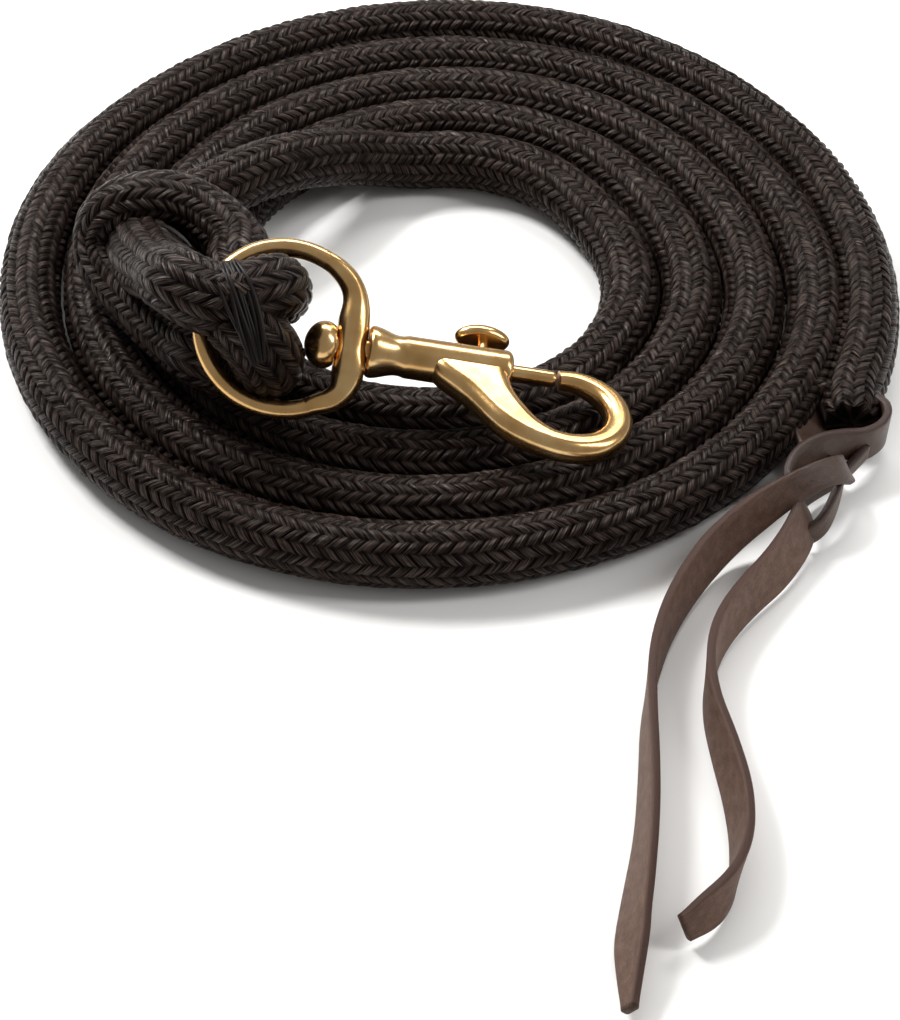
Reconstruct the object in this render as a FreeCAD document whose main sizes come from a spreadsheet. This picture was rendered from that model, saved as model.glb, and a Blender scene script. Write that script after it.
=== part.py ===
import FreeCAD, Part
import math
import os
import Sketcher
from FreeCAD import Placement, Rotation, Vector

# Lead rope: one braided rope laid in a flat coil, a spliced eye hitched through the swivel eye of a
# cast brass bolt snap at one end, and a split leather popper tied through the rope at the other.
# Millimetres. +X right, +Y away from the popper, +Z up; the origin is under the middle of the whole.

SIZES = {
    # where the middle of the coil lies
    "coil_centre_x": 0.7,
    "coil_centre_y": 62.8,
    # rope
    "rope_diameter": 16.0,
    "coil_radius": 112.0,
    "coil_pitch": 17.1,
    "coil_from_deg": -31.0,
    "coil_to_deg": 1540.0,
    "splice_diameter": 19.0,
    # leather popper
    "strap_thickness": 2.2,
    "strap_width": 11.0,
    "knot_length": 34.0,
    "knot_width": 23.0,
    "knot_height": 17.0,
    # the snap's axis: the point level with the middle of the swivel eye, and its fall towards the hook
    "snap_from_x": -41.4,
    "snap_from_y": -72.1,
    "snap_from_z": 36.5,
    "snap_fall_deg": 11.1,
    # swivel eye
    "eye_tilt_deg": 40.0,
    "eye_offset": 2.5,
    "eye_radius": 20.6,
    "eye_wire_radius": 2.4,
    "boss_inner": 13.0,
    "boss_depth": 7.8,
    "boss_half_length": 10.5,
    "boss_thickness": 9.0,
    # swivel stem
    "stem_radius": 3.0,
    "swivel_clearance": 0.07,
    "swivel_end_gap": 0.15,
    "rivet_radius": 6.0,
    "rivet_height": 7.6,
    "collar_radius": 6.5,
    "collar_length": 4.0,
    # barrel and hook
    "barrel_radius": 5.5,
    "barrel_front": 57.8,
    "hook_centre_along": 71.9,
    "hook_centre_side": 12.95,
    "hook_radius": 12.95,
    "hook_bar": 7.0,
    "hook_tip_bar": 4.7,
    # bolt, thumb stud and spring
    "bolt_radius": 2.15,
    "bolt_clearance": 0.07,
    "bolt_exposed": 11.5,
    "bolt_length": 23.5,
    "bolt_travel": 11.0,
    "bore_back": 27.0,
    "stud_along": 50.5,
    "stud_neck_radius": 1.5,
    "stud_under": 10.2,
    "stud_height": 5.4,
    "stud_half_length": 7.1,
    "stud_half_width": 4.0,
    "slot_clearance": 0.3,
    "spring_wire": 0.5,
    "spring_turns": 11.0,
}

# Middle line of the rope from the end of the coil over the left side to the splice, measured from the
# coil's middle on the floor.
LEAD_IN = [(-8.3, 46.5, 8.2), (-15, 46, 8.8), (-24.5, 41.5, 13), (-34, 33.5, 18.5), (-41, 26.5, 22.5),
           (-48, 21, 24.5), (-55, 15, 25.5), (-62.5, 7.5, 26), (-69.5, 1.5, 26), (-76, -3, 26),
           (-80.5, -8.5, 26)]
# The splice, from the lead-in to where it meets the swivel eye's wire.
SPLICE = [(-80.5, -8.5, 26), (-82, -17.5, 27.5), (-79, -36.5, 35.5), (-73, -54, 43.5)]
# The upper leg of the eye, over the wire and down through the swivel eye: along, across and above it.
UPPER_LEG = [(-29, 6, 8), (-20.5, 2, 11.6), (-14, 2, 12), (-8, 5, 12), (-3.5, 8.4, 7.5), (-2.8, 8.8, -2),
             (-6.5, 10.6, -10.8), (-14, 15, -12.8)]
# The bight of the eye that stands outside the swivel eye, measured as the lead-in is.
BIGHT = [(-53.5, -37.5, 38), (-59.5, -29, 39), (-65.5, -24, 40.5), (-72, -22, 42), (-78.5, -21, 42),
         (-85.5, -20, 39.5), (-90.5, -20.5, 35), (-92, -22.5, 29.5), (-90.5, -27.5, 26), (-86, -35, 24.5),
         (-79.5, -44, 24.3), (-73.5, -52.5, 24.3), (-67, -60.5, 25)]
# The lower leg, under the wire, up through the swivel eye and back to where the upper leg began.
LOWER_LEG = [(-19, -7, -12.6), (-9.5, -8.6, -11.2), (-3.2, -8.8, -4), (-3, -8.8, 4.5), (-8.5, -5, 11.6),
             (-14, -1, 12)]
# The two tails of the popper on the floor, from the knot outwards.
LEFT_TAIL = [(90.5, -95.5), (79, -101.5), (69.5, -108), (61.5, -117), (55.5, -129.5), (50, -143), (46.5, -156),
             (44.8, -171), (44.6, -187), (43.4, -205), (40.7, -222), (37.7, -239), (37, -254)]
RIGHT_TAIL = [(93.5, -97), (87, -112), (79.5, -123.5), (71, -133), (64, -144), (60, -157), (59.7, -171),
              (62.2, -184), (63.8, -197), (63.4, -210), (60.5, -222), (55, -232)]
KNOT_MIDDLE = (96.0, -84.0)
# The coil's radius when the lead-in and the popper were laid out; both move with the coil's ends.
LAID_RADIUS = 112.0
# Corner radius of a cast section, as a share of its thinner side.
CORNER_SHARE = 0.42

doc = FreeCAD.newDocument("lead_rope")
sheet = doc.addObject("Spreadsheet::Sheet", "sizes")
for row, (alias, number) in enumerate(SIZES.items(), start=1):
    sheet.set(f"A{row}", alias)
    sheet.set(f"B{row}", str(number))
    sheet.setAlias(f"B{row}", alias)
doc.recompute()


def size(alias):
    return float(sheet.get(alias))


# ---- frames -------------------------------------------------------------------------------------

COIL_FRAME = Placement(Vector(size("coil_centre_x"), size("coil_centre_y"), 0), Rotation())
SNAP_IN_COIL = Placement(
    Vector(size("snap_from_x"), size("snap_from_y"), size("snap_from_z")),
    Rotation(Vector(0, 1, 0), size("snap_fall_deg")),
)
SNAP_FRAME = COIL_FRAME * SNAP_IN_COIL
TILT = Placement(Vector(0, 0, 0), Rotation(Vector(1, 0, 0), size("eye_tilt_deg")))
OFFSET = Placement(Vector(0, size("eye_offset"), 0), Rotation())
EYE_IN_COIL = SNAP_IN_COIL * TILT * OFFSET
EYE_FRAME = COIL_FRAME * EYE_IN_COIL


# ---- helpers ------------------------------------------------------------------------------------

def bind(thing, prop, formula):
    """Tie one property to the sheet."""
    thing.setExpression(prop, formula)


def body(name, place):
    made = doc.addObject("PartDesign::Body", name)
    made.Label = name
    made.Placement = place
    return made


def plane(owner, role):
    return next(f for f in owner.Origin.OriginFeatures if f.Role == role)


def sketch_on(owner, name, role, offset=None):
    """A sketch on one of the body's own origin planes, moved by offset in that plane's frame."""
    made = owner.newObject("Sketcher::SketchObject", name)
    made.AttachmentSupport = [(plane(owner, role), "")]
    made.MapMode = "FlatFace"
    if offset is not None:
        made.AttachmentOffset = offset
    return made


def draw_lines(made, points):
    """A closed outline of straight lines through the points."""
    corners = [Vector(x, y, 0) for x, y in points]
    for start, stop in zip(corners, corners[1:] + corners[:1]):
        made.addGeometry(Part.LineSegment(start, stop), False)


def draw_circle(made, x, y, radius_formula, radius):
    circle = Part.Circle(Vector(x, y, 0), Vector(0, 0, 1), radius)
    index = made.addGeometry(circle, False)
    rule = made.addConstraint(Sketcher.Constraint("Radius", index, radius))
    made.setExpression(f"Constraints[{rule}]", radius_formula)


def draw_rounded_box(made, width, thickness, corner):
    """Four lines and four corner arcs about the sketch's own origin, always in the same order."""
    a = width / 2 - corner
    b = thickness / 2 - corner
    middles = [(a, b, 0), (-a, b, 90), (-a, -b, 180), (a, -b, 270)]
    ends = []
    for x, y, turn in middles:
        circle = Part.Circle(Vector(x, y, 0), Vector(0, 0, 1), corner)
        arc = Part.ArcOfCircle(circle, math.radians(turn), math.radians(turn + 90))
        made.addGeometry(arc, False)
        ends.append((arc.StartPoint, arc.EndPoint))
    for this, following in zip(ends, ends[1:] + ends[:1]):
        made.addGeometry(Part.LineSegment(this[1], following[0]), False)


def loft_stations(owner, name, stations):
    """An additive loft. A station is (x, y, direction of its width in degrees, width, thickness)."""
    sections = []
    for number, (x, y, turn, width, thickness) in enumerate(stations):
        across = Vector(math.cos(math.radians(turn)), math.sin(math.radians(turn)), 0)
        up = Vector(0, 0, 1)
        place = Placement(Vector(x, y, 0), Rotation(across, up, across.cross(up), "XYZ"))
        made = sketch_on(owner, f"{name}_section_{number}", "XY_Plane", place)
        draw_rounded_box(made, width, thickness, CORNER_SHARE * min(width, thickness))
        sections.append(made)
    loft = owner.newObject("PartDesign::AdditiveLoft", name)
    loft.Profile = sections[0]
    loft.Sections = sections[1:]
    return loft


def cut_deeper(owner, pocket, before):
    """Recompute and make sure that a pocket has taken something away."""
    doc.recompute()
    if owner.Shape.Volume >= before - 1e-3:
        raise RuntimeError(pocket.Name + " cuts nothing")


def rounded_route(points, label):
    """Straight runs joined by tangent arcs, 0.45 of the shorter run over the tangent of half the turn."""
    spots = [Vector(*p) for p in points]
    edges = []
    radii = []
    start = spots[0]
    for before, corner, after in zip(spots, spots[1:], spots[2:]):
        back = before - corner
        ahead = after - corner
        turn = math.pi - back.getAngle(ahead)
        cut = 0.45 * min(back.Length, ahead.Length)
        radius = cut / math.tan(turn / 2)
        radii.append(radius)
        first = corner + back.normalize() * cut
        last = corner + ahead.normalize() * cut
        inward = (back + ahead).normalize()
        middle = corner + inward * (radius / math.cos(turn / 2) - radius)
        edges.append(Part.LineSegment(start, first).toShape())
        edges.append(Part.Arc(first, middle, last).toShape())
        start = last
    edges.append(Part.LineSegment(start, spots[-1]).toShape())
    print(label, "smallest bend radii", [round(r, 1) for r in sorted(radii)[:3]])
    return Part.Wire(edges)


def tube(name, points, diameter):
    """A round rope along a rounded route."""
    wire = rounded_route(points, name)
    heading = Vector(*points[1]) - Vector(*points[0])
    ring = Part.Wire(Part.Circle(Vector(*points[0]), heading, diameter / 2).toShape())
    solid = wire.makePipeShell([ring], True, False)
    expected = math.pi * diameter ** 2 / 4 * wire.Length
    print(name, "length", round(wire.Length, 1), "volume ratio", round(solid.Volume / expected, 3))
    return solid


def soft_feature(name, shape, place=COIL_FRAME):
    made = doc.addObject("Part::Feature", name)
    made.Label = name
    made.Shape = shape
    made.Placement = place * shape.Placement
    return made


# ---- rope ---------------------------------------------------------------------------------------

def ease(x):
    x = max(0.0, min(1.0, x))
    return x * x * (3 - 2 * x)


def swell(angle, centre, half_width):
    """A smooth bump of height 1 round the coil at one heading."""
    away = (angle - centre + 180) % 360 - 180
    if abs(away) >= half_width:
        return 0.0
    return math.cos(math.pi / 2 * away / half_width) ** 2


def coil_line_radius(angle):
    """How far the rope's middle lies from the coil's middle, turn after turn, from the outer end inwards."""
    radius = size("coil_radius")
    for turn in range(5):
        radius -= size("coil_pitch") * ease((angle - 290 - 360 * turn) / 100)
    radius += 1.5 * (1 - math.cos(math.radians(angle)))
    radius += (6.8 if angle < 200 else 2.7) * swell(angle, 88, 60) + 8.0 * swell(angle, 252, 75)
    if angle < 20:
        radius += 8.0 * ((20 - angle) / 50) ** 2
    return radius


def coil_edge(first, last, shift):
    """Smooth edge beside the rope's middle line from one angle to another."""
    count = round((last - first) / 15)
    spots = []
    for step in range(count + 1):
        angle = first + (last - first) * step / count
        reach = coil_line_radius(angle) + shift
        spots.append(Vector(reach * math.cos(math.radians(angle)), reach * math.sin(math.radians(angle)), 0))
    curve = Part.BSplineCurve()
    curve.interpolate(spots)
    return curve.toShape()


def closed_face(edge):
    """A face inside one turn of an edge, closed by the short step between its two ends."""
    step = Part.LineSegment(edge.lastVertex().Point, edge.firstVertex().Point).toShape()
    return Part.Face(Part.Wire([edge, step]))


def build_rope_coil():
    half = size("rope_diameter") / 2
    first = size("coil_from_deg")
    last = size("coil_to_deg")
    outer = closed_face(coil_edge(first, first + 360, half))
    inner = closed_face(coil_edge(last - 360, last, -half))
    soft_feature("rope_coil", outer.cut(inner).extrude(Vector(0, 0, 2 * half)))


def in_coil(points):
    """Points of the swivel eye's own frame, in the coil's."""
    return [tuple(EYE_IN_COIL.multVec(Vector(*p))) for p in points]


def coil_growth(angle):
    """How far the coil's line at that angle has moved from where the other routes were laid out."""
    turn = math.radians(angle)
    return Vector(math.cos(turn), math.sin(turn), 0) * (size("coil_radius") - LAID_RADIUS)


def build_rope_tubes():
    grown = coil_growth(size("coil_to_deg"))
    shares = [1.0, 0.75, 0.5, 0.25] + [0.0] * (len(LEAD_IN) - 4)
    lead_in = [tuple(Vector(*spot) + grown * share) for spot, share in zip(LEAD_IN, shares)]
    soft_feature("rope_lead_in", tube("rope_lead_in", lead_in, size("rope_diameter")))
    soft_feature("rope_splice", tube("rope_splice", SPLICE, size("splice_diameter")))
    eye = [SPLICE[-1]] + in_coil(UPPER_LEG) + BIGHT + in_coil(LOWER_LEG)
    soft_feature("rope_eye", tube("rope_eye", eye, size("rope_diameter")))


# ---- leather popper -----------------------------------------------------------------------------

def build_popper():
    knot = doc.addObject("Part::Ellipsoid", "popper_knot")
    knot.Label = "popper_knot"
    bind(knot, "Radius1", "sizes.knot_height / 2")
    bind(knot, "Radius2", "sizes.knot_width / 2")
    bind(knot, "Radius3", "sizes.knot_length / 2")
    knot.Angle1 = -90
    grown = coil_growth(size("coil_from_deg"))
    middle = Vector(KNOT_MIDDLE[0], KNOT_MIDDLE[1], size("knot_height") / 2 + 0.5) + grown
    knot.Placement = COIL_FRAME * Placement(middle, Rotation(Vector(0, 0, 1), 12))
    for name, points in (("popper_tail_left", LEFT_TAIL), ("popper_tail_right", RIGHT_TAIL)):
        route = rounded_route([(x + grown.x, y + grown.y, 0) for x, y in points], name)
        print(name, "length", round(route.Length, 1))
        plan = route.makeOffset2D(size("strap_thickness"), 0, True, True, False)
        soft_feature(name, plan.extrude(Vector(0, 0, size("strap_width"))))


# ---- swivel eye ---------------------------------------------------------------------------------

def build_swivel_eye():
    eye = body("swivel_eye", EYE_FRAME)
    radius = size("eye_radius")
    wire = size("eye_wire_radius")
    section = sketch_on(eye, "eye_wire_section", "XZ_Plane")
    draw_circle(section, -radius, 0, "sizes.eye_wire_radius", wire)
    turn = eye.newObject("PartDesign::Revolution", "eye_wire")
    turn.Profile = section
    turn.ReferenceAxis = (section, ["V_Axis"])
    turn.Angle = 244
    turn.Midplane = True
    low = -size("eye_offset") - size("boss_half_length")
    high = -size("eye_offset") + size("boss_half_length")
    middle = size("boss_inner") + size("boss_depth") / 2
    depth = size("boss_depth")
    thick = size("boss_thickness")

    def on_ring(angle, width, thickness):
        spot = (radius * math.cos(math.radians(angle)), radius * math.sin(math.radians(angle)))
        return (*spot, angle, width, thickness)

    loft_stations(eye, "eye_boss", [
        on_ring(66, 2 * wire - 0.2, 2 * wire - 0.2),
        on_ring(56, 2 * wire + 0.3, 2 * wire + 0.3),
        (middle - 0.9, high + 3.6, 33, depth - 1.6, thick - 3.0),
        (middle, high - 2.5, 4, depth, thick - 0.6),
        (middle, (high + low) / 2, 0, depth, thick),
        (middle, low + 2.5, -4, depth, thick - 0.6),
        (middle - 1.7, low - 1.8, -33, depth - 1.6, thick - 3.0),
        on_ring(-60, 2 * wire + 0.3, 2 * wire + 0.3),
        on_ring(-68, 2 * wire - 0.2, 2 * wire - 0.2),
    ])
    doc.recompute()
    for name, near, far, half_side, half_up in (
        ("eye_chord_face", size("boss_inner") - 2.5, size("boss_inner"), 8.0, 6.0),
        ("eye_outer_face", size("boss_inner") + depth, size("boss_inner") + depth + 4, 12.0, 6.0),
    ):
        flat = sketch_on(eye, name + "_outline", "XY_Plane")
        axis_side = -size("eye_offset")
        draw_lines(flat, [(near, axis_side - half_side), (far, axis_side - half_side),
                          (far, axis_side + half_side), (near, axis_side + half_side)])
        trim = eye.newObject("PartDesign::Pocket", name)
        trim.Profile = flat
        trim.Midplane = True
        trim.Length = 2 * half_up
        doc.recompute()
    before = eye.Shape.Volume
    bore = sketch_on(eye, "swivel_bore_outline", "YZ_Plane")
    draw_circle(bore, -size("eye_offset"), 0, "sizes.stem_radius + sizes.swivel_clearance",
                size("stem_radius") + size("swivel_clearance"))
    hole = eye.newObject("PartDesign::Pocket", "swivel_bore")
    hole.Profile = bore
    hole.Length = size("eye_radius") + 2 * wire
    hole.Reversed = True
    cut_deeper(eye, hole, before)


# ---- snap body ----------------------------------------------------------------------------------

def build_snap_body():
    snap = body("snap_body", SNAP_FRAME)
    head_face = size("boss_inner") - size("swivel_end_gap")
    head_top = head_face - size("rivet_height")
    collar = size("boss_inner") + size("boss_depth") + size("swivel_end_gap")
    neck = collar + size("collar_length")
    front = size("barrel_front")
    outline = sketch_on(snap, "turned_profile", "XY_Plane")
    rivet = size("rivet_radius")
    barrel = size("barrel_radius")
    stem = size("stem_radius")
    profile = [(head_top, 0), (head_top + 0.1, 1.2), (head_top + 0.6, 2.8), (head_top + 1.5, 4.3), (head_top + 3.0, rivet - 0.5),
               (head_top + 4.6, rivet), (head_face - 1.2, rivet - 0.3), (head_face, rivet - 1.2)]
    dome = Part.BSplineCurve()
    dome.interpolate([Vector(x, y, 0) for x, y in profile])
    outline.addGeometry(dome, False)
    waist = [(collar, size("collar_radius") - 0.9), (collar + 0.9, size("collar_radius")),
             (neck - 1.2, size("collar_radius") - 0.1), (neck + 2.4, barrel - 0.2), (neck + 6, barrel - 0.1)]
    shoulder = Part.BSplineCurve()
    shoulder.interpolate([Vector(x, y, 0) for x, y in waist])
    corners = [(head_face, rivet - 1.2), (head_face, stem), (collar, stem), waist[0]]
    for start, stop in zip(corners, corners[1:]):
        outline.addGeometry(Part.LineSegment(Vector(*start, 0), Vector(*stop, 0)), False)
    outline.addGeometry(shoulder, False)
    round_off = 1.8
    tail = [waist[-1], (front - round_off, barrel)]
    outline.addGeometry(Part.LineSegment(Vector(*tail[0], 0), Vector(*tail[1], 0)), False)
    nose = Part.Circle(Vector(front - round_off, barrel - round_off, 0), Vector(0, 0, 1), round_off)
    outline.addGeometry(Part.ArcOfCircle(nose, 0, math.pi / 2), False)
    back = [(front, barrel - round_off), (front, 0), (head_top, 0)]
    for start, stop in zip(back, back[1:]):
        outline.addGeometry(Part.LineSegment(Vector(*start, 0), Vector(*stop, 0)), False)
    turned = snap.newObject("PartDesign::Revolution", "stem_and_barrel")
    turned.Profile = outline
    turned.ReferenceAxis = (outline, ["H_Axis"])
    turned.Angle = 360
    doc.recompute()

    along = size("hook_centre_along")
    side = -size("hook_centre_side")
    reach = size("hook_radius")
    bar = size("hook_bar")
    tip = size("hook_tip_bar")
    stations = []
    for angle, share in ((98, 0.0), (80, 0.25), (55, 0.6), (25, 0.9), (0, 1.0), (-30, 1.0), (-60, 1.0), (-90, 1.0)):
        thick = tip + (bar - tip) * share
        spot = (along + reach * math.cos(math.radians(angle)), side + reach * math.sin(math.radians(angle)))
        stations.append((*spot, angle, thick, thick))
    bottom = side - reach
    stations += [
        (along - 8.6, bottom + 2.3, -132, bar + 1.1, bar + 0.3),
        (along - 16.0, bottom + 9.4, -137.5, bar + 4.1, bar + 0.6),
        (along - 20.9, bottom + 16.6, -163, bar + 7.0, bar + 1.0),
        (along - 24.9, bottom + 22.6, -174, bar + 12.6, bar + 1.4),
        (along - 25.0, bottom + 25.6, -180, bar + 12.0, bar + 1.4),
    ]
    loft_stations(snap, "hook", stations)
    doc.recompute()

    before = snap.Shape.Volume
    bore = sketch_on(snap, "bolt_bore_outline", "YZ_Plane",
                     Placement(Vector(0, 0, size("bore_back")), Rotation()))
    draw_circle(bore, 0, 0, "sizes.bolt_radius + sizes.bolt_clearance",
                size("bolt_radius") + size("bolt_clearance"))
    drilled = snap.newObject("PartDesign::Pocket", "bolt_bore")
    drilled.Profile = bore
    drilled.Reversed = True
    bind(drilled, "Length", "sizes.barrel_front - sizes.bore_back + 0.5")
    cut_deeper(snap, drilled, before)

    before = snap.Shape.Volume
    slot = sketch_on(snap, "thumb_slot_outline", "XZ_Plane")
    half = size("stud_neck_radius") + size("slot_clearance")
    right = size("stud_along")
    left = right - size("bolt_travel") - size("slot_clearance")
    for spot, start in ((right, -90), (left, 90)):
        end = Part.Circle(Vector(spot, 0, 0), Vector(0, 0, 1), half)
        slot.addGeometry(Part.ArcOfCircle(end, math.radians(start), math.radians(start + 180)), False)
    for level in (half, -half):
        slot.addGeometry(Part.LineSegment(Vector(left, level, 0), Vector(right, level, 0)), False)
    milled = snap.newObject("PartDesign::Pocket", "thumb_slot")
    milled.Profile = slot
    bind(milled, "Length", "sizes.barrel_radius + 2")
    cut_deeper(snap, milled, before)


# ---- bolt, thumb stud and spring ----------------------------------------------------------------

def build_bolt():
    bolt = body("bolt", SNAP_FRAME)
    tip = size("barrel_front") + size("bolt_exposed")
    back = tip - size("bolt_length")
    radius = size("bolt_radius")
    edge = 0.9
    outline = sketch_on(bolt, "bolt_profile", "XY_Plane")
    draw_lines(outline, [(back, 0), (back, radius), (tip - edge, radius), (tip - edge / 3, radius - edge / 3),
                         (tip, radius - edge), (tip, 0)])
    turned = bolt.newObject("PartDesign::Revolution", "bolt_rod")
    turned.Profile = outline
    turned.ReferenceAxis = (outline, ["H_Axis"])
    turned.Angle = 360
    doc.recompute()
    before = bolt.Shape.Volume
    seat = sketch_on(bolt, "stud_seat_outline", "XZ_Plane")
    draw_circle(seat, size("stud_along"), 0, "sizes.stud_neck_radius", size("stud_neck_radius"))
    drilled = bolt.newObject("PartDesign::Pocket", "stud_seat")
    drilled.Profile = seat
    bind(drilled, "Length", "sizes.bolt_radius + 1")
    cut_deeper(bolt, drilled, before)


def build_thumb_stud():
    stud = body("thumb_stud", SNAP_FRAME)
    middle = size("stud_along")
    under = size("stud_under")
    neck = sketch_on(stud, "stud_neck_outline", "XZ_Plane")
    draw_circle(neck, middle, 0, "sizes.stud_neck_radius", size("stud_neck_radius"))
    post = stud.newObject("PartDesign::Pad", "stud_neck")
    post.Profile = neck
    post.Reversed = True
    bind(post, "Length", "sizes.stud_under + 1")
    doc.recompute()
    long_half = size("stud_half_length")
    wide_half = size("stud_half_width")
    sections = []
    for number, (up, share) in enumerate(((0.0, 0.78), (0.18, 0.97), (0.34, 1.0), (0.56, 0.9), (0.76, 0.7),
                                          (0.92, 0.42), (1.0, 0.1))):
        level = Placement(Vector(middle, 0, -(under + up * size("stud_height"))), Rotation())
        made = sketch_on(stud, f"stud_level_{number}", "XZ_Plane", level)
        ellipse = Part.Ellipse(Vector(0, 0, 0), long_half * share, wide_half * share)
        made.addGeometry(ellipse, False)
        sections.append(made)
    head = stud.newObject("PartDesign::AdditiveLoft", "stud_head")
    head.Profile = sections[0]
    head.Sections = sections[1:]


def build_spring():
    """Wound wire in the bore behind the bolt, at the length it has with the bolt shut."""
    wire = size("spring_wire")
    gap = 0.05
    back = size("bore_back") + wire / 2 + gap
    front = size("barrel_front") + size("bolt_exposed") - size("bolt_length") - wire / 2 - gap
    reach = size("bolt_radius") - wire / 2 - gap
    spine = Part.makeHelix((front - back) / size("spring_turns"), front - back, reach)
    ring = Part.Wire(Part.Circle(Vector(reach, 0, 0), Vector(0, 1, 0), wire / 2).toShape())
    coil = Part.Wire(spine).makePipeShell([ring], True, True)
    coil.rotate(Vector(0, 0, 0), Vector(0, 1, 0), 90)
    coil.translate(Vector(back, 0, 0))
    soft_feature("bolt_spring", coil, SNAP_FRAME)


build_rope_coil()
build_rope_tubes()
build_popper()
build_swivel_eye()
build_snap_body()
build_bolt()
build_thumb_stud()
build_spring()
doc.recompute()

for thing in doc.Objects:
    if "Invalid" in thing.State or "Error" in thing.State:
        raise RuntimeError(thing.Name + " did not build")

os.makedirs("parts", exist_ok=True)
NODES = ("rope_coil", "rope_lead_in", "rope_splice", "rope_eye", "popper_knot", "popper_tail_left",
         "popper_tail_right", "swivel_eye", "snap_body", "bolt", "thumb_stud", "bolt_spring")
for node in NODES:
    shape = doc.getObject(node).Shape
    if shape.isNull() or not shape.isValid():
        raise RuntimeError(node + " has no valid shape")
    shape.exportStep(f"parts/{node}.step")
    box = shape.BoundBox
    print(node, "volume", round(shape.Volume), "x", round(box.XMin, 1), round(box.XMax, 1), "y",
          round(box.YMin, 1), round(box.YMax, 1), "z", round(box.ZMin, 1), round(box.ZMax, 1))
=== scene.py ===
"""A coiled lead rope: a braided rope in a flat coil, spliced and hitched round the swivel eye of a brass
bolt snap, with a knotted leather popper at its end. Lengths are in millimetres and become metres where
meshes are made."""
import math

import bpy
import numpy as np
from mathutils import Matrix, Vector


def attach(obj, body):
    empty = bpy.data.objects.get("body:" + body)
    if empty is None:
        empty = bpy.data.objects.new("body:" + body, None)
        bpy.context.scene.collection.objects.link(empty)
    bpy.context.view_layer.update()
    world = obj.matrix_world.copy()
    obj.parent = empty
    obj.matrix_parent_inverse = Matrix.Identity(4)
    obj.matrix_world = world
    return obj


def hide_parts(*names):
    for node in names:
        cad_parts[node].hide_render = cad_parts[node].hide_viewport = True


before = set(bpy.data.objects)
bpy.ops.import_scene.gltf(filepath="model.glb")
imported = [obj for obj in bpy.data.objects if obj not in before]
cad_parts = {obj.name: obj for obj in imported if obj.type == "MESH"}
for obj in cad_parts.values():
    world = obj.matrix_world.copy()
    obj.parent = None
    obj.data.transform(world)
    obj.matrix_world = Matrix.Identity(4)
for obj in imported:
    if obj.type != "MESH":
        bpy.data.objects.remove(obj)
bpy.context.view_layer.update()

MM = 0.001
SEED = 7
RNG = np.random.default_rng(SEED)
COIL_MIDDLE = np.array((0.7, 62.8, 0.0))   # in the part's frame; every route below is measured from it

# ---- sizes and routes ---------------------------------------------------------------------------
ROPE = 16.0          # rope diameter
SPLICE_FAT = 19.0    # the splice, with the rope's own tail buried in it
STRAP = (11.0, 2.2)  # popper strap, width and thickness
PICK = 3.5           # how often the braid repeats along the rope
COLUMNS = 16         # herringbone columns round the rope
ACROSS = 4           # mesh faces across one column
PER_PICK = 8         # mesh rings along one pick
PICK_SLOPE = 0.9     # how steeply a pick crosses its column
COLUMN_WIDTH = math.pi * ROPE / COLUMNS
PICK_CREST = (0.0, 0.68, 0.92, 1.0, 1.0, 0.97, 0.88, 0.55)   # a pick's height along the rope
COLUMN_CREST = (0.42, 0.9, 1.0, 0.9)               # and across its column
ODDS = RNG.random((900, COLUMNS))                            # each pick's own fullness
COIL_RADIUS = 112.0  # the rope's line at the coil's outer turn
COIL_PITCH = 17.1    # from one turn to the next
COIL_FROM = -31      # where the coil starts, at the popper, in degrees
COIL_TO = 1540       # and where it ends, after growing inwards
COIL_POINTS = 263    # control points of the coil, one every 6 degrees
TURNS = 5

ROPE_TIP = [(102.6, -72, 8), (103.2, -67, 8)]
LEAD_IN = [(-8.3, 46.5, 8.2), (-15, 46, 8.8), (-24.5, 41.5, 13), (-34, 33.5, 18.5), (-41, 26.5, 22.5),
           (-48, 21, 24.5), (-55, 15, 25.5), (-62.5, 7.5, 26), (-69.5, 1.5, 26), (-76, -3, 26),
           (-80.5, -8.5, 26)]
SPLICE = [(-80.5, -8.5, 26), (-82, -17.5, 27.5), (-79, -36.5, 35.5), (-73, -54, 43.5)]
# Legs of the eye inside the ring, in the ring's own frame. The ring leans 40 degrees round the snap's line,
# which falls 11.1 degrees from it.
UPPER_LEG = [(-29, 6, 8), (-20.5, 2, 11.6), (-14, 2, 12), (-8, 5, 12), (-3.5, 8.4, 7.5),
             (-2.8, 8.8, -2), (-6.5, 10.6, -10.8), (-14, 15, -12.8)]
LOWER_LEG = [(-19, -7, -12.6), (-9.5, -8.6, -11.2), (-3.2, -8.8, -4), (-3, -8.8, 4.5),
             (-8.5, -5, 11.6), (-14, -1, 12)]
BIGHT = [(-53.5, -37.5, 38), (-59.5, -29, 39), (-65.5, -24, 40.5), (-72, -22, 42), (-78.5, -21, 42),
         (-85.5, -20, 39.5), (-90.5, -20.5, 35), (-92, -22.5, 29.5), (-90.5, -27.5, 26),
         (-86, -35, 24.5), (-79.5, -44, 24.3), (-73.5, -52.5, 24.3), (-67, -60.5, 25)]
RING_CENTRE = (-40.391, -7.385, 38.077)
RING_FRAME = ((0.98129, 0, -0.19252), (0.12375, 0.76604, 0.63077), (0.14748, -0.64279, 0.75171))

# Yarns lying over the throat of the hitch, and where the buried tail leaves the splice.
THROAT = [(-54.8, -72.5, 60.5), (-52.6, -79, 60), (-50, -85, 54.8), (-47.6, -90, 48.6),
          (-46.5, -91.8, 44)]
TAIL_EXIT = [(-84, -29, 38), (-77.5, -38.5, 44.6), (-70, -51.5, 50.6), (-67, -58, 53)]

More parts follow.
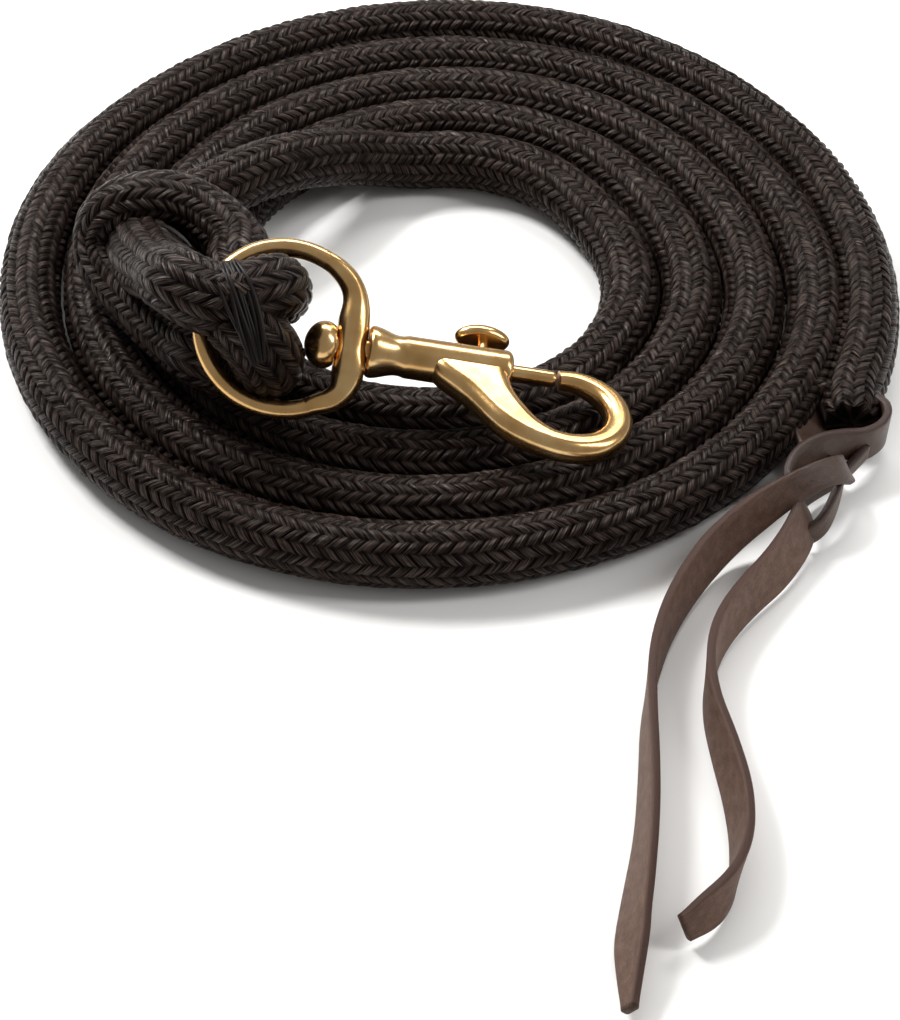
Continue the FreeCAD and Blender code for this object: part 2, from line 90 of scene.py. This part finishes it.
# Each popper strap from the hole in the rope to its tip: x, y, z, roll in degrees, width.
STRAP_RIGHT = [(104, -63, 8, 0, 9), (111.5, -66, 8.2, 0, 10.5), (111.5, -74, 8, 4, 11),
               (105.5, -80, 8.3, 8, 11), (98.5, -82.5, 11, -6, 8), (92.5, -86, 13, -24, 7),
               (87.5, -90.5, 13, -34, 7), (84.8, -95.5, 11, -30, 7), (85.6, -99.5, 9, -24, 8),
               (87.4, -104, 8, -26, 10), (86.5, -110.5, 7, -30, 11), (79.5, -122.5, 5.7, -30, 11),
               (71, -133, 5.9, -20, 11), (64, -144, 6, -12, 11), (60.3, -156, 6, -2, 11),
               (59.7, -169, 6, 8, 11), (62, -183, 6, 19, 11), (64, -197, 5.8, 22, 11),
               (63.8, -210, 5.8, 17, 11), (61, -221, 5.8, 4, 11), (55, -229, 5.4, -22, 9),
               (49.5, -232.5, 4.5, -30, 6)]
STRAP_LEFT = [(104, -62, 8, -10, 9), (96.2, -61, 8, -25, 10.5), (92.6, -68, 8, -50, 11),
              (91, -75, 7, -58, 11), (92.5, -82, 5, -40, 10), (96.5, -87, 6, -10, 9),
              (99, -91, 9.5, -30, 8), (97.6, -94.6, 13, -44, 7.4), (92.8, -98.6, 15.4, -46, 7.2),
              (86.5, -102.4, 15.2, -42, 7.4), (80, -105.4, 12.8, -34, 8.5),
              (72.5, -109.5, 9.2, -18, 10.5), (64.5, -116.5, 6.2, -22, 11), (57, -128.5, 5.7, -16, 11),
              (51, -142, 5.8, -10, 11), (47.2, -156, 5.9, -3, 11), (45.3, -171, 5.9, 8, 11),
              (44.6, -187, 5.9, 14, 11), (43.2, -205, 5.8, 20, 11), (40.4, -222, 5.6, 28, 11.5),
              (38, -236, 5.2, 34, 11), (37, -253, 3.6, 40, 3.5)]
# The outer half of each slit, which the other strap passes behind.
SLIT_RIGHT = [(105.5, -80, 6.5, 8, 6), (101, -85.5, 5, 10, 5), (96.5, -89.5, 4.5, 6, 5),
              (90, -94, 4, 0, 5), (86.5, -99, 5.5, 0, 5)]
SLIT_LEFT = [(98, -92.5, 9.5, 10, 6), (95.2, -101.5, 7.2, -6, 5.4), (90.5, -109, 4.6, -16, 5),
             (87, -109.6, 4.2, -14, 5)]


def ease(x):
    """A smooth step from 0 to 1."""
    x = np.clip(x, 0.0, 1.0)
    return x * x * (3 - 2 * x)


def swell(angle, middle, width):
    """A bump of height 1 round that angle, in degrees."""
    away = (angle - middle + 180) % 360 - 180
    return math.cos(math.pi / 2 * away / width) ** 2 if abs(away) < width else 0.0


def coil_line_radius(angle):
    """How far the rope's line is from the coil's middle, at an angle that grows inwards turn by turn."""
    radius = COIL_RADIUS
    # Each turn steps in by one pitch from 290 to 390 degrees.
    for turn in range(TURNS):
        radius -= COIL_PITCH * ease((angle - 290 - 360 * turn) / 100)
    # The coil is wider on the left, bulges at the back and in front, and its end swings out to the popper.
    radius += 1.5 * (1 - math.cos(math.radians(angle)))
    radius += (6.8 if angle < 200 else 2.7) * swell(angle, 88, 60) + 8.0 * swell(angle, 252, 75)
    if angle < 20:
        radius += 8.0 * ((20 - angle) / 50) ** 2
    return radius


def coil_route():
    """The coil's control points, from the popper's end inwards."""
    route = []
    for angle in np.linspace(COIL_FROM, COIL_TO, COIL_POINTS):
        radius = coil_line_radius(angle)
        turn = math.radians(angle)
        route.append((radius * math.cos(turn), radius * math.sin(turn), ROPE / 2))
    return route


def in_ring(route):
    """Points of the ring's own frame, in the coil's frame."""
    return [tuple(np.array(p) @ np.array(RING_FRAME) + RING_CENTRE - COIL_MIDDLE) for p in route]


def cord_line(name, route):
    """The points down the middle of a cord, read from its NURBS spline, in metres in the part's frame."""
    data = bpy.data.curves.new(name + "_line", "CURVE")
    data.dimensions = "3D"
    data.resolution_u = 12
    spline = data.splines.new("NURBS")
    spline.points.add(len(route) - 1)
    for point, spot in zip(spline.points, route):
        point.co = (*((np.array(spot[:3]) + COIL_MIDDLE) * MM), 1.0)
    spline.order_u = 3
    spline.use_endpoint_u = True
    holder = bpy.data.objects.new(name + "_line", data)
    mesh = bpy.data.meshes.new_from_object(holder)
    line = np.array([v.co for v in mesh.vertices], float)
    bpy.data.objects.remove(holder)
    bpy.data.meshes.remove(mesh)
    bpy.data.curves.remove(data)
    return line


class Track:
    """A cord's line with even steps, and a frame carried along it without twist."""

    def __init__(self, line, step=0.25 * MM, up=(0, 0, 1)):
        far = np.concatenate([[0], np.cumsum(np.linalg.norm(np.diff(line, axis=0), axis=1))])
        self.length = far[-1]
        self.at = np.linspace(0, self.length, int(self.length / step) + 2)
        self.spot = np.stack([np.interp(self.at, far, line[:, k]) for k in range(3)], axis=1)
        ahead = np.gradient(self.spot, self.at, axis=0)
        self.ahead = ahead / np.linalg.norm(ahead, axis=1)[:, None]
        side = np.cross(up, self.ahead[0])
        side = side / np.linalg.norm(side)
        sides = []
        for direction in self.ahead:
            side = side - direction * side.dot(direction)
            side = side / np.linalg.norm(side)
            sides.append(side)
        self.side = np.array(sides)
        self.up = np.cross(self.ahead, self.side)

    def read(self, values, at):
        """Values carried along the line, such as its spots or sides, at some lengths along it."""
        at = np.clip(at, 0, self.length)
        return np.stack([np.interp(at, self.at, values[:, k]) for k in range(3)], axis=-1)

    def where(self, spot):
        """The length in mm along the line of the point nearest to a spot of the coil's frame."""
        away = np.linalg.norm(self.spot - (np.array(spot) + COIL_MIDDLE) * MM, axis=1)
        return self.at[np.argmin(away)] / MM

    def part(self, start, end):
        """The line's own points between two lengths along it."""
        return self.read(self.spot, np.linspace(start, end, max(8, int((end - start) / (1.5 * MM)))))


# ---- materials ----------------------------------------------------------------------------------

def linear(code):
    """A colour of six sRGB hex digits as linear RGBA."""
    parts = [int(code[i:i + 2], 16) / 255 for i in (0, 2, 4)]
    return (*[c / 12.92 if c <= 0.04045 else ((c + 0.055) / 1.055) ** 2.4 for c in parts], 1.0)


class Shader:
    """A material's nodes, with one short way to add a node and join it to others."""

    def __init__(self, name):
        self.material = bpy.data.materials.new(name)
        self.material.use_nodes = True
        self.tree = self.material.node_tree
        self.surface = self.tree.nodes["Principled BSDF"]

    def add(self, kind, inputs=(), out=0, stops=(), **settings):
        """One node with its settings and links; stops are the places and colours of a colour ramp."""
        node = self.tree.nodes.new("ShaderNode" + kind)
        for key, value in settings.items():
            setattr(node, key, value)
        while stops and len(node.color_ramp.elements) < len(stops):
            node.color_ramp.elements.new(0.5)
        for element, (place, code) in zip(node.color_ramp.elements if stops else (), stops):
            element.position = place
            element.color = linear(code)
        for key, value in dict(inputs).items():
            self.put(node.inputs[key], value)
        return node.outputs[out]

    def put(self, socket, value):
        if isinstance(value, bpy.types.NodeSocket):
            self.tree.links.new(value, socket)
        else:
            socket.default_value = value

    def finish(self, **values):
        for key, value in values.items():
            self.put(self.surface.inputs[key.replace("_", " ")], value)
        return self.material


def braided_rope(name):
    """Dark brown multifilament braid: every pick is a flat bundle of shiny fibres, with painted shade
    darkening the gaps between picks.
    """
    s = Shader(name)
    place = s.add("UVMap", uv_map="braid_mm")
    around = s.add("SeparateXYZ", {0: place})
    along = around.node.outputs[1]
    # Which column and which pick of it a spot belongs to; every other column is half a pick further on.
    column = s.add("Math", {0: around, 1: COLUMN_WIDTH}, operation="DIVIDE")
    column = s.add("Math", {0: column}, operation="FLOOR")
    odd = s.add("Math", {0: column, 1: 2.0}, operation="MODULO")
    later = s.add("Math", {0: odd, 1: 0.5}, operation="MULTIPLY")
    pick = s.add("Math", {0: along, 1: PICK}, operation="DIVIDE")
    pick = s.add("Math", {0: pick, 1: later}, operation="ADD")
    pick = s.add("Math", {0: pick}, operation="FLOOR")
    cell = s.add("CombineXYZ", {0: column, 1: pick})
    chance = s.add("TexWhiteNoise", {"Vector": cell}, noise_dimensions="3D")
    # Fibres about 0.25 mm apart, far coarser than the real filaments so that they show.
    fibres = s.add("CombineXYZ", {0: s.add("Math", {0: around, 1: 0.16}, operation="MULTIPLY"),
                                  1: s.add("Math", {0: along, 1: 4.2}, operation="MULTIPLY"),
                                  2: s.add("Math", {0: chance, 1: 9.0}, operation="MULTIPLY")})
    strand = s.add("TexNoise", {"Vector": fibres, "Scale": 1.0, "Detail": 3.0, "Roughness": 0.65})
    crest = s.add("Attribute", attribute_name="crest", out=2)
    tone = s.add("Math", {0: s.add("Math", {0: strand, 1: 0.86}, operation="MULTIPLY"),
                          1: s.add("Math", {0: chance, 1: 0.14}, operation="MULTIPLY")}, operation="ADD")
    tint = s.add("ValToRGB", {0: tone}, stops=((0.34, "0b0605"), (0.5, "19110e"), (0.66, "362a25")))
    # Painted shade: where the mesh lies low between picks, the colour is mixed towards near-black 060404.
    raised = s.add("ValToRGB", {0: crest}, stops=((0.28, "000000"), (0.74, "ffffff")))
    gap_shade = s.add("Math", {0: 1.0, 1: raised}, operation="SUBTRACT")
    gap_shade = s.add("Math", {0: gap_shade, 1: 0.9}, operation="MULTIPLY")
    colour = s.add("Mix", {0: gap_shade, 6: tint, 7: linear("060404")}, out=2, data_type="RGBA")
    ruffle = s.add("Bump", {"Strength": 0.8, "Distance": 0.3 * MM, "Height": strand})
    rough = s.add("Math", {0: chance, 1: 0.14}, operation="MULTIPLY")
    rough = s.add("Math", {0: 0.26, 1: rough}, operation="ADD")
    # Only some fibres catch the light, and none in the gaps.
    lit = s.add("ValToRGB", {0: strand}, stops=((0.46, "000000"), (0.68, "ffffff")))
    shine = s.add("Math", {0: lit, 1: 0.75}, operation="MULTIPLY")
    shine = s.add("Math", {0: 0.04, 1: shine}, operation="ADD")
    shine = s.add("Math", {0: shine, 1: crest}, operation="MULTIPLY")
    tangent = s.add("Tangent", direction_type="UV_MAP", uv_map="braid_mm")
    return s.finish(Base_Color=colour, Roughness=rough, Normal=ruffle, Anisotropic=0.5, Tangent=tangent,
                    Specular_IOR_Level=shine, Specular_Tint=linear("ffe9dc"))


def loose_yarn(name):
    """The rope's own fibre, pulled out straight: dark, silky and unworked."""
    s = Shader(name)
    return s.finish(Base_Color=linear("120c0a"), Roughness=0.4, Specular_IOR_Level=0.16)


def popper_leather(name):
    """Oiled bridle leather: a matt grained face, a raw red-brown cut edge and a rubbed, glossier knot."""
    s = Shader(name)
    place = s.add("UVMap", uv_map="strap_mm")
    cut = s.add("Attribute", attribute_name="cut_edge", out=2)
    gloss = s.add("Attribute", attribute_name="rubbed", out=2)
    stretched = s.add("Mapping", {"Vector": place, "Scale": (1.0, 0.35, 1.0), "Rotation": (0, 0, 0.5)})
    grain = s.add("TexNoise", {"Vector": place, "Scale": 2.6, "Detail": 5.0, "Roughness": 0.7})
    crease = s.add("TexNoise", {"Vector": stretched, "Scale": 0.9, "Detail": 4.0, "Roughness": 0.6})
    tone = s.add("Math", {0: s.add("Math", {0: grain, 1: 0.45}, operation="MULTIPLY"),
                          1: s.add("Math", {0: crease, 1: 0.55}, operation="MULTIPLY")}, operation="ADD")
    face = s.add("ValToRGB", {0: tone}, stops=((0.3, "3f2c24"), (0.5, "5a4337"), (0.72, "6f574b")))
    edge = s.add("ValToRGB", {0: grain}, stops=((0.3, "2c1912"), (0.6, "3f261c"), (0.8, "4f3226")))
    colour = s.add("Mix", {0: cut, 6: face, 7: edge}, out=2, data_type="RGBA")
    darker = s.add("Math", {0: gloss, 1: 0.6}, operation="MULTIPLY")
    colour = s.add("Mix", {0: darker, 6: colour, 7: linear("22150f")}, out=2, data_type="RGBA")
    relief = s.add("Math", {0: s.add("Math", {0: grain, 1: 0.5}, operation="MULTIPLY"),
                            1: s.add("Math", {0: crease, 1: 0.6}, operation="MULTIPLY")}, operation="ADD")
    bump = s.add("Bump", {"Strength": 0.7, "Distance": 0.3 * MM, "Height": relief})
    smoother = s.add("Math", {0: gloss, 1: 0.24}, operation="MULTIPLY")
    rough = s.add("Math", {0: 0.62, 1: smoother}, operation="SUBTRACT")
    return s.finish(Base_Color=colour, Roughness=rough, Normal=bump, Specular_IOR_Level=0.28)


def cast_brass(name, waviness):
    """Tumbled cast brass: warm and bright, with a casting's pits and its slight waviness, given in mm."""
    s = Shader(name)
    place = s.add("TexCoord", out=3)
    waves = s.add("TexNoise", {"Vector": place, "Scale": 110.0, "Detail": 2.0, "Roughness": 0.5})
    pits = s.add("TexNoise", {"Vector": place, "Scale": 1400.0, "Detail": 3.0, "Roughness": 0.6})
    tone = s.add("ValToRGB", {0: waves}, stops=((0.3, "c39a62"), (0.55, "d6ae76"), (0.75, "e6c792")))
    pitted = s.add("Math", {0: pits, 1: 0.12}, operation="MULTIPLY")
    relief = s.add("Math", {0: waves, 1: pitted}, operation="ADD")
    bump = s.add("Bump", {"Strength": 0.5, "Distance": waviness * MM, "Height": relief})
    rough = s.add("Math", {0: 0.17, 1: pitted}, operation="ADD")
    return s.finish(Base_Color=tone, Metallic=1.0, Roughness=rough, Normal=bump)


def spring_steel(name):
    """Drawn spring wire: grey and fairly bright."""
    s = Shader(name)
    return s.finish(Base_Color=linear("8f8c88"), Metallic=1.0, Roughness=0.32)


def studio_paper(name):
    """Matt white studio paper."""
    s = Shader(name)
    return s.finish(Base_Color=linear("f4f3f1"), Roughness=0.9)


rope_braid = braided_rope("braided_rope")
rope_yarn = loose_yarn("rope_yarn")
leather = popper_leather("popper_leather")
brass = cast_brass("cast_brass", 0.25)
turned_brass = cast_brass("turned_brass", 0.05)
steel = spring_steel("spring_steel")


# ---- pieces -------------------------------------------------------------------------------------

def mesh_piece(name, vertices, faces, material):
    """A smooth-shaded mesh in place, joined to nothing yet."""
    mesh = bpy.data.meshes.new(name)
    mesh.from_pydata(vertices.tolist(), [], faces.tolist())
    mesh.shade_smooth()
    mesh.materials.append(material)
    made = bpy.data.objects.new(name, mesh)
    bpy.context.scene.collection.objects.link(made)
    return made


def grid_faces(rings, around):
    """Quads of a closed tube, ring by ring, and the corner places of each."""
    ring, spoke = np.meshgrid(np.arange(rings - 1), np.arange(around), indexing="ij")
    ring, spoke = ring.ravel(), spoke.ravel()
    after = (spoke + 1) % around
    faces = np.stack([ring * around + spoke, ring * around + after,
                      (ring + 1) * around + after, (ring + 1) * around + spoke], axis=1)
    corners = np.stack([spoke, spoke + 1, spoke + 1, spoke], axis=1)
    levels = np.stack([ring, ring, ring + 1, ring + 1], axis=1)
    return faces, corners, levels


def give_uv(made, name, across, along):
    layer = made.data.uv_layers.new(name=name)
    layer.data.foreach_set("uv", np.stack([across.ravel(), along.ravel()], axis=1).ravel())


def give_value(made, name, values):
    layer = made.data.attributes.new(name, "FLOAT", "POINT")
    layer.data.foreach_set("value", values.astype(np.float32).ravel())


def braid(name, track, start, end, radius, slope, relief=0.8):
    """A braided tube round part of a track, with rings that zigzag along the edges of its picks."""
    around = COLUMNS * ACROSS
    rings = int(round((end - start) / (PICK / PER_PICK * MM))) + 1
    ring = np.arange(rings)[:, None]
    spoke = np.arange(around)[None, :]
    column = spoke // ACROSS + 0 * ring
    share = (spoke % ACROSS) / ACROSS
    lean = np.where(column % 2 == 0, share, 1 - share) - 0.5
    level = start + (end - start) * ring / (rings - 1)
    at = np.clip(level + slope(level / MM) * COLUMN_WIDTH * MM * lean, 0, track.length)
    shifted = ring + PER_PICK // 2 * (column % 2)
    crest = np.array(PICK_CREST)[shifted % PER_PICK]
    height = np.array(COLUMN_CREST)[spoke % ACROSS] * (0.12 + 0.88 * crest)
    height = height * (0.82 + 0.36 * ODDS[shifted // PER_PICK + round(start / MM / PICK), column])
    reach = radius(at / MM) + relief * (height - 0.62)
    turn = 2 * math.pi * spoke / around + 0.05 * np.sin(at / (31 * MM))
    spot, side, up = (track.read(v, at) for v in (track.spot, track.side, track.up))
    outwards = np.cos(turn)[..., None] * side + np.sin(turn)[..., None] * up
    vertices = spot + (reach * MM)[..., None] * outwards
    faces, corners, levels = grid_faces(rings, around)
    made = mesh_piece(name, vertices.reshape(-1, 3), faces, rope_braid)
    caps = cap_rope(made, rings, around)
    across = np.concatenate([corners.ravel() * (COLUMN_WIDTH / ACROSS),
                             np.tile((0.0, 3.0, 6.0), caps // 3)])
    along = np.concatenate([levels.ravel() * PICK / PER_PICK + start / MM,
                            np.tile((0.0, 0.6, 1.2), caps // 3)])
    give_uv(made, "braid_mm", across, along)
    # The two cap centres get a low crest of 0.2, so the painted gap shade darkens the middle of each rope
    # end.
    give_value(made, "crest", np.concatenate([np.clip(height, 0, 1).ravel(), (0.2, 0.2)]))
    return made


def cap_rope(made, rings, around):
    """Closes a rope tube with a fan over each end, and says how many face corners that adds."""
    mesh = made.data
    verts = np.array([v.co for v in mesh.vertices])
    faces = [tuple(p.vertices) for p in mesh.polygons]
    first, last = len(verts), len(verts) + 1
    verts = np.concatenate([verts, [verts[:around].mean(0)], [verts[-around:].mean(0)]])
    final = (rings - 1) * around
    for spoke in range(around):
        after = (spoke + 1) % around
        faces.append((first, after, spoke))
        faces.append((last, final + spoke, final + after))
    mesh.clear_geometry()
    mesh.from_pydata(verts.tolist(), [], faces)
    mesh.shade_smooth()
    return 6 * around


def strap_shape(width, thick):
    """Corners of a strap's rounded section, and how far each is on a cut edge, from 0 to 1."""
    r = min(0.55, thick * 0.3)
    half, deep = width / 2, thick / 2
    across = [-half + r, -half / 2, 0, half / 2, half - r]
    points = [(x, deep, 0) for x in across] + [(half - 0.3 * r, deep - 0.3 * r, 0.5), (half, deep - r, 1)]
    points += [(half, 0, 1), (half, -deep + r, 1), (half - 0.3 * r, -deep + 0.3 * r, 0.5)]
    points += [(x, -deep, 0) for x in across[::-1]]
    points += [(-half + 0.3 * r, -deep + 0.3 * r, 0.5), (-half, -deep + r, 1)]
    points += [(-half, 0, 1), (-half, deep - r, 1), (-half + 0.3 * r, deep - 0.3 * r, 0.5)]
    return np.array(points)


def close_ends(made, rings, around):
    """Flat faces over a tube's two ends."""
    mesh = made.data
    verts = np.array([v.co for v in mesh.vertices])
    faces = [tuple(p.vertices) for p in mesh.polygons]
    faces.append(tuple(range(around))[::-1])
    faces.append(tuple(range((rings - 1) * around, rings * around)))
    mesh.clear_geometry()
    mesh.from_pydata(verts.tolist(), [], faces)
    mesh.shade_smooth()


def strap(name, route, rubbed):
    """A leather strap along a route with a roll and a width at every point, and the track it follows.
    Its map is in millimetres, and rubbed gives how glossy it is at each length along it."""
    track = Track(cord_line(name, route))
    rings = int(track.length / (0.9 * MM)) + 1
    at = np.linspace(0, track.length, rings)
    shares = np.linspace(0, 1, len(route))
    spots = (np.array([p[:3] for p in route]) + COIL_MIDDLE) * MM
    near = np.array([np.argmin(np.linalg.norm(track.spot - p, axis=1)) for p in spots])
    marks = np.maximum.accumulate(track.at[near]) + shares * 1e-7
    roll = np.radians(np.interp(at, marks, [p[3] for p in route]))
    roll = np.convolve(np.pad(roll, 5, mode="edge"), np.ones(11) / 11, "valid")
    width = np.interp(at, marks, [p[4] for p in route])
    width = np.convolve(np.pad(width, 3, mode="edge"), np.ones(7) / 7, "valid")
    spot, ahead = track.read(track.spot, at), track.read(track.ahead, at)
    side = np.cross((0, 0, 1), ahead)
    side /= np.linalg.norm(side, axis=1)[:, None]
    up = np.cross(ahead, side)
    wide = np.cos(roll)[:, None] * up + np.sin(roll)[:, None] * side
    deep = np.cos(roll)[:, None] * side - np.sin(roll)[:, None] * up
    rows, cut = [], []
    for i in range(rings):
        section = strap_shape(width[i], STRAP[1])
        rows.append(spot[i] + (section[:, :1] * wide[i] + section[:, 1:2] * deep[i]) * MM)
        cut.append(section[:, 2])
    around = len(cut[0])
    faces, corners, levels = grid_faces(rings, around)
    made = mesh_piece(name, np.concatenate(rows), faces, leather)
    close_ends(made, rings, around)
    turns = np.concatenate([corners.ravel(), np.arange(around)[::-1], np.arange(around)])
    ends = np.concatenate([levels.ravel(), np.zeros(around, int), np.full(around, rings - 1)])
    give_uv(made, "strap_mm", turns * 1.2, at[ends] / MM)
    give_value(made, "cut_edge", np.array(cut))
    give_value(made, "rubbed", np.repeat(rubbed(at / MM), around))
    return made, track


def yarns(name, route, count, spread, thick):
    """Fine yarns side by side along a route, each with its own slack, as one mesh."""
    line = Track(cord_line(name, route))
    stations = np.linspace(0, line.length, 26)
    spot, side, up = (line.read(v, stations) for v in (line.spot, line.side, line.up))
    share = np.linspace(0, 1, len(stations))
    ring = np.linspace(0, 2 * math.pi, 6, endpoint=False)
    rows, faces = [], []
    for _ in range(count):
        off_side, off_up, sway, beat = RNG.normal(0, 1, 4)
        over = spread * (off_side * 0.5 + 0.35 * sway * np.sin(share * math.pi * (1.5 + 0.4 * beat)))
        rise = 0.12 * spread * off_up * np.sin(share * math.pi) ** 0.5
        middle = spot + (over[:, None] * side + rise[:, None] * up) * MM
        wide = thick * (0.7 + 0.5 * RNG.random()) * np.clip(4 * share * (1 - share) + 0.35, 0, 1)
        tube = middle[:, None] + wide[:, None, None] * MM * (np.cos(ring)[None, :, None] * side[:, None]
                                                            + np.sin(ring)[None, :, None] * up[:, None])
        first = sum(len(r) for r in rows)
        rows.append(tube.reshape(-1, 3))
        faces.append(grid_faces(len(stations), len(ring))[0] + first)
    made = mesh_piece(name, np.concatenate(rows), np.concatenate(faces), rope_yarn)
    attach(made, "rope")


# The rope is one cord from the popper, round the coil, over to the splice and round the eye's hitch.
rope_route = (ROPE_TIP + coil_route() + LEAD_IN[1:-1] + SPLICE
              + in_ring(UPPER_LEG) + BIGHT + in_ring(LOWER_LEG))
rope = Track(cord_line("rope", rope_route))
coil_end = rope.where(LEAD_IN[0])
splice_from = rope.where(SPLICE[0])
splice_to = rope.where(SPLICE[-1])


def rope_radius(s):
    """The rope's radius at a length along it: fatter in the splice and where the hitch bunches over the
    ring, and drawn in at the popper's end."""
    fat = (SPLICE_FAT - ROPE) / 2 * ease((s - splice_from + 8) / 30) * (1 - ease((s - splice_to + 12) / 20))
    upper = 1.1 * ease(1 - np.abs(s - splice_to - 34) / 36)
    lower = 1.2 * ease(1 - np.abs(s - rope.length / MM + 26) / 36)
    return ROPE / 2 + 0.1 * np.sin(s / 23) + fat + upper + lower - 1.6 * ease((5 - s) / 6)


def rope_slope(s):
    """Picks lie steeper to the rope's length in the bunched splice."""
    return PICK_SLOPE + 0.6 * ease((s - splice_from) / 35) * (1 - ease((s - splice_to) / 20))


stops = [coil_end * turn / TURNS for turn in range(TURNS + 1)] + [splice_to, rope.length / MM]
# Pieces meet at whole picks, so the braid runs on across their joins.
stops = [PICK * round(stop / PICK) for stop in stops[:-1]] + [stops[-1]]
names = [f"coil_turn_{turn + 1}" for turn in range(TURNS)] + ["lead_in_and_splice", "eye"]
solids = [("rope_coil",)] + [()] * (TURNS - 1) + [("rope_lead_in", "rope_splice"), ("rope_eye",)]
lays = ["coiled"] * TURNS + ["loose", "taut"]
for name, start, end, nodes, lay in zip(names, stops, stops[1:], solids, lays):
    piece = braid(name, rope, start * MM, end * MM, rope_radius, rope_slope)
    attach(piece, "rope")
    if nodes:
        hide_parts(*nodes)
    path = rope.part(start * MM, end * MM)

# Loose parallel yarns across the throat between the two legs, and where the buried tail leaves the splice.
yarns("throat_yarns", THROAT, 22, 2.6, 0.55)
yarns("buried_tail_yarns", TAIL_EXIT, 18, 4.0, 0.6)

# The popper.
for name, route, nodes in (("popper_strap_right", STRAP_RIGHT, ("popper_knot", "popper_tail_right")),
                           ("popper_strap_left", STRAP_LEFT, ("popper_tail_left",))):
    made, track = strap(name, route, lambda s: ease((75 - s) / 20))
    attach(made, "rope")
    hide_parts(*nodes)
    path = track.part(0, track.length)
for name, route in (("popper_slit_right", SLIT_RIGHT), ("popper_slit_left", SLIT_LEFT)):
    made, _ = strap(name, route, lambda s: np.full(len(s), 0.9))
    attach(made, "rope")

# The brass and steel pieces keep their CAD meshes.
for node, material in (("swivel_eye", brass), ("snap_body", brass), ("bolt", turned_brass),
                       ("thumb_stud", turned_brass), ("bolt_spring", steel)):
    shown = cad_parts[node]
    for slot in shown.material_slots:
        slot.link = "OBJECT"
        slot.material = material

# ---- floor, light and camera --------------------------------------------------------------------
FLOOR_HALF = 3.0      # metres
FLOOR_DROP = 0.0005   # metres, just under the rope
floor_mesh = bpy.data.meshes.new("floor")
floor_mesh.from_pydata([(-FLOOR_HALF, -FLOOR_HALF, 0), (FLOOR_HALF, -FLOOR_HALF, 0),
                        (FLOOR_HALF, FLOOR_HALF, 0), (-FLOOR_HALF, FLOOR_HALF, 0)], [], [(0, 1, 2, 3)])
floor_mesh.materials.append(studio_paper("studio_paper"))
floor = bpy.data.objects.new("floor", floor_mesh)
floor.location.z = -FLOOR_DROP
bpy.context.scene.collection.objects.link(floor)


def area_light(name, place, target, size, power, code="ffffff"):
    data = bpy.data.lights.new(name, "AREA")
    data.shape = "RECTANGLE"
    data.size, data.size_y = size
    data.energy = power
    data.color = linear(code)[:3]
    made = bpy.data.objects.new(name, data)
    made.location = place
    made.rotation_euler = (Vector(target) - Vector(place)).to_track_quat("-Z", "Y").to_euler()
    bpy.context.scene.collection.objects.link(made)


area_light("key", (-0.6, 0.55, 0.9), (0, 0, 0), (0.35, 0.35), 16)
area_light("fill", (0.9, -0.1, 0.75), (0, 0, 0), (0.25, 0.8), 6)
area_light("top", (0.1, 0.75, 0.8), (0, 0.05, 0), (0.9, 0.22), 8)

world = bpy.data.worlds.new("studio")
world.use_nodes = True
bpy.context.scene.world = world
backdrop = world.node_tree.nodes["Background"]
backdrop.inputs[0].default_value = linear("f6f5f3")
backdrop.inputs[1].default_value = 0.36

lens = bpy.data.cameras.new("camera")
lens.lens = 105
lens.sensor_width = 36
lens.sensor_fit = "HORIZONTAL"
camera = bpy.data.objects.new("camera", lens)
camera.location = (0.0007, -0.5229, 0.4415)
camera.rotation_euler = (math.radians(48), 0, 0)
bpy.context.scene.collection.objects.link(camera)
bpy.context.scene.camera = camera
bpy.context.scene.view_settings.view_transform = "Standard"
